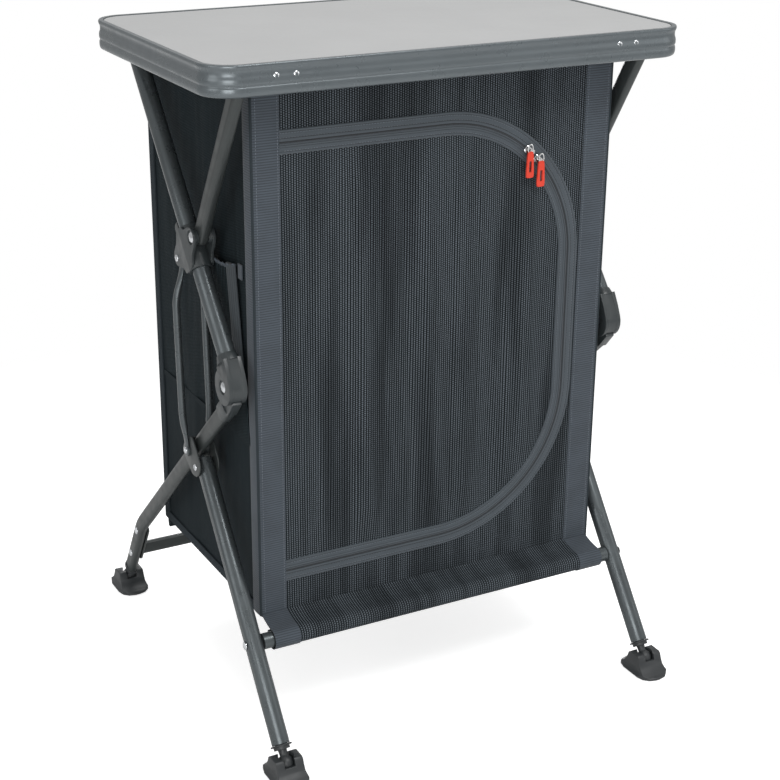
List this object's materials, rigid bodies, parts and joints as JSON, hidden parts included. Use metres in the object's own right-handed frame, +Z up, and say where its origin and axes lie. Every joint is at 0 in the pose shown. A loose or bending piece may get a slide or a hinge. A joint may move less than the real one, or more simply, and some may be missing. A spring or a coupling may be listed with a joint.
{
  "type": "fabric camp kitchen cupboard",
  "caption": "Folding camp kitchen cupboard: a hard table top on scissor frames with sliding hubs, over a zipped mesh fabric cabinet with shelves.",
  "frame": {"origin": "middle of the bounding box's base, on the ground under the cupboard", "axes": "+Z up; -Y towards the door; +X to the right of a person who faces the door"},
  "size_m": [0.62, 0.6072, 0.84],
  "materials": {
    "pale_laminate": "matt pale grey laminate",
    "rim_grey": "satin dark grey moulded rim",
    "frame_paint": "satin anthracite coated tube",
    "black_plastic": "matt black moulded plastic",
    "rivet_steel": "bright plated steel",
    "button_red": "dark red plastic",
    "red_plastic": "red moulded plastic",
    "mesh_cloth": "dark open mesh cloth",
    "band_cloth": "slate woven cloth",
    "zip_cloth": "grey woven tape with moulded teeth",
    "board_cloth": "dark woven cloth",
    "cloth_board": "stiff cloth-faced board",
    "slider_zinc": "cast zinc slider"
  },
  "bodies": {
    "cabinet_top": {"table_rim": "rim_grey", "table_top": "pale_laminate", "left_under_rail": "frame_paint", "right_under_rail": "frame_paint", "left_side_panel": "mesh_cloth", "right_side_panel": "mesh_cloth", "rear_panel": "mesh_cloth", "front_panel": "band_cloth", "zip_tape": "zip_cloth", "front_flap": "mesh_cloth", "side_pocket": "board_cloth"},
    "struts": {"left_strut": "frame_paint", "right_strut": "frame_paint"},
    "hubs": {"left_hub": "black_plastic", "right_hub": "black_plastic", "left_hub_rivet": "rivet_steel", "right_hub_rivet": "rivet_steel"},
    "left_button": {"left_hub_button": "button_red"},
    "right_button": {"right_hub_button": "button_red"},
    "long_bars": {"left_long_bar": "frame_paint", "right_long_bar": "frame_paint", "left_bar_end": "black_plastic", "right_bar_end": "black_plastic", "left_elbow_fork": "black_plastic", "right_elbow_fork": "black_plastic", "left_elbow_rivet": "rivet_steel", "right_elbow_rivet": "rivet_steel"},
    "lower_bars": {"left_lower_bar": "frame_paint", "right_lower_bar": "frame_paint", "left_elbow_tongue": "black_plastic", "right_elbow_tongue": "black_plastic", "left_leg_bracket": "frame_paint", "right_leg_bracket": "frame_paint", "left_crossing_bush": "black_plastic", "right_crossing_bush": "black_plastic", "left_rear_plug": "black_plastic", "right_rear_plug": "black_plastic", "rear_stretcher": "black_plastic"},
    "front_legs": {"left_front_leg": "frame_paint", "right_front_leg": "frame_paint", "front_stretcher": "frame_paint"},
    "link_rods": {"left_outer_rod": "frame_paint", "right_outer_rod": "frame_paint", "left_inner_rod": "frame_paint", "right_inner_rod": "frame_paint"},
    "left_foot_adjuster": {"left_adjuster": "black_plastic"},
    "right_foot_adjuster": {"right_adjuster": "black_plastic"},
    "left_front_foot": {"left_front_shoe": "black_plastic"},
    "right_front_foot": {"right_front_shoe": "black_plastic"},
    "left_rear_foot": {"left_rear_shoe": "black_plastic"},
    "right_rear_foot": {"right_rear_shoe": "black_plastic"},
    "door": {"door_panel": "mesh_cloth"},
    "base": {"base_board": "cloth_board"},
    "middle_board": {"middle_shelf": "cloth_board"},
    "upper_board": {"upper_shelf": "cloth_board"},
    "upper_zip_slider": {"upper_slider": "slider_zinc"},
    "lower_zip_slider": {"lower_slider": "slider_zinc"},
    "upper_zip_pull": {"upper_pull": "red_plastic"},
    "lower_zip_pull": {"lower_pull": "red_plastic"}
  },
  "joints": [
    {"name": "fold", "type": "hinge", "parent": "cabinet_top", "child": "struts", "pos_m": [0, -0.17642, 0.813], "axis": [1, 0, 0], "range_deg": [0, 56.18], "deforming": ["left_side_panel", "right_side_panel", "rear_panel", "side_pocket", "front_panel", "zip_tape", "front_flap", "door_panel"]},
    {"name": "hub_turn", "type": "hinge", "parent": "struts", "child": "hubs", "pos_m": [0, -0.05685, 0.61532], "axis": [1, 0, 0], "range_deg": [-104.23, 0]},
    {"name": "bar_slide", "type": "slide", "parent": "hubs", "child": "long_bars", "axis": [0, -0.6388, -0.7694], "range_m": [0, 0.2264]},
    {"name": "elbow_turn", "type": "hinge", "parent": "long_bars", "child": "lower_bars", "pos_m": [0, -0.13414, 0.45412], "axis": [1, 0, 0], "range_deg": [0, 88.44]},
    {"name": "leg_turn", "type": "hinge", "parent": "lower_bars", "child": "front_legs", "pos_m": [0, -0.0448, 0.3174], "axis": [1, 0, 0], "range_deg": [0, 69.72]},
    {"name": "rod_turn", "type": "hinge", "parent": "hubs", "child": "link_rods", "pos_m": [0, -0.01222, 0.57828], "axis": [1, 0, 0], "range_deg": [-35.73, 0]},
    {"name": "base_lift", "type": "slide", "parent": "cabinet_top", "child": "base", "axis": [0, 0, 1], "range_m": [0, 0.61201]},
    {"name": "middle_board_lift", "type": "slide", "parent": "cabinet_top", "child": "middle_board", "axis": [0, 0, 1], "range_m": [0, 0.40701]},
    {"name": "upper_board_lift", "type": "slide", "parent": "cabinet_top", "child": "upper_board", "axis": [0, 0, 1], "range_m": [0, 0.20201]},
    {"name": "zip_lift", "type": "slide", "parent": "cabinet_top", "child": "upper_zip_slider", "axis": [0, 0, 1], "range_m": [0, 0.09701]},
    {"name": "lower_slider_run", "type": "hinge", "parent": "upper_zip_slider", "child": "lower_zip_slider", "pos_m": [0.008, -0.15463, 0.56], "axis": [0, 1, 0], "range_deg": [0, 40]},
    {"name": "upper_pull_swing", "type": "hinge", "parent": "upper_zip_slider", "child": "upper_zip_pull", "pos_m": [0.12306, -0.16238, 0.69712], "axis": [0.766, 0, -0.6428], "range_deg": [-150, 0]},
    {"name": "lower_pull_swing", "type": "hinge", "parent": "lower_zip_slider", "child": "lower_zip_pull", "pos_m": [0.13676, -0.16238, 0.68434], "axis": [0.6947, 0, -0.7193], "range_deg": [-150, 0]},
    {"name": "door_swing", "type": "hinge", "parent": "cabinet_top", "child": "door", "pos_m": [-0.201, -0.15263, 0.4735], "axis": [0, 0, 1], "range_deg": [-120, 0]},
    {"name": "left_button_press", "type": "slide", "parent": "hubs", "child": "left_button", "axis": [0, -0.7694, 0.6388], "range_m": [0, 0.0025], "stiffness_N_per_m": 600},
    {"name": "left_foot_adjust", "type": "slide", "parent": "front_legs", "child": "left_foot_adjuster", "axis": [0, -0.6004, -0.7997], "range_m": [0, 0.02]},
    {"name": "left_front_foot_swivel", "type": "hinge", "parent": "left_foot_adjuster", "child": "left_front_foot", "pos_m": [-0.264, -0.26959, 0.018], "axis": [1, 0, 0], "range_deg": [-15, 15]},
    {"name": "left_rear_foot_swivel", "type": "hinge", "parent": "lower_bars", "child": "left_rear_foot", "pos_m": [-0.264, 0.26959, 0.018], "axis": [1, 0, 0], "range_deg": [-15, 15]},
    {"name": "right_button_press", "type": "slide", "parent": "hubs", "child": "right_button", "axis": [0, -0.7694, 0.6388], "range_m": [0, 0.0025], "stiffness_N_per_m": 600},
    {"name": "right_foot_adjust", "type": "slide", "parent": "front_legs", "child": "right_foot_adjuster", "axis": [0, -0.6004, -0.7997], "range_m": [0, 0.02]},
    {"name": "right_front_foot_swivel", "type": "hinge", "parent": "right_foot_adjuster", "child": "right_front_foot", "pos_m": [0.264, -0.26959, 0.018], "axis": [1, 0, 0], "range_deg": [-15, 15]},
    {"name": "right_rear_foot_swivel", "type": "hinge", "parent": "lower_bars", "child": "right_rear_foot", "pos_m": [0.264, 0.26959, 0.018], "axis": [1, 0, 0], "range_deg": [-15, 15]}
  ],
  "couplings": [
    {"joint": "hub_turn", "follows": "fold", "ratio": -1.855},
    {"joint": "bar_slide", "follows": "fold", "m_per_rad": 0.23088},
    {"joint": "elbow_turn", "follows": "fold", "ratio": 1.574},
    {"joint": "leg_turn", "follows": "fold", "ratio": 1.2409},
    {"joint": "rod_turn", "follows": "fold", "ratio": -0.63573},
    {"joint": "base_lift", "follows": "fold", "m_per_rad": 0.62413},
    {"joint": "middle_board_lift", "follows": "fold", "m_per_rad": 0.41506},
    {"joint": "upper_board_lift", "follows": "fold", "m_per_rad": 0.206},
    {"joint": "zip_lift", "follows": "fold", "m_per_rad": 0.098922}
  ]
}
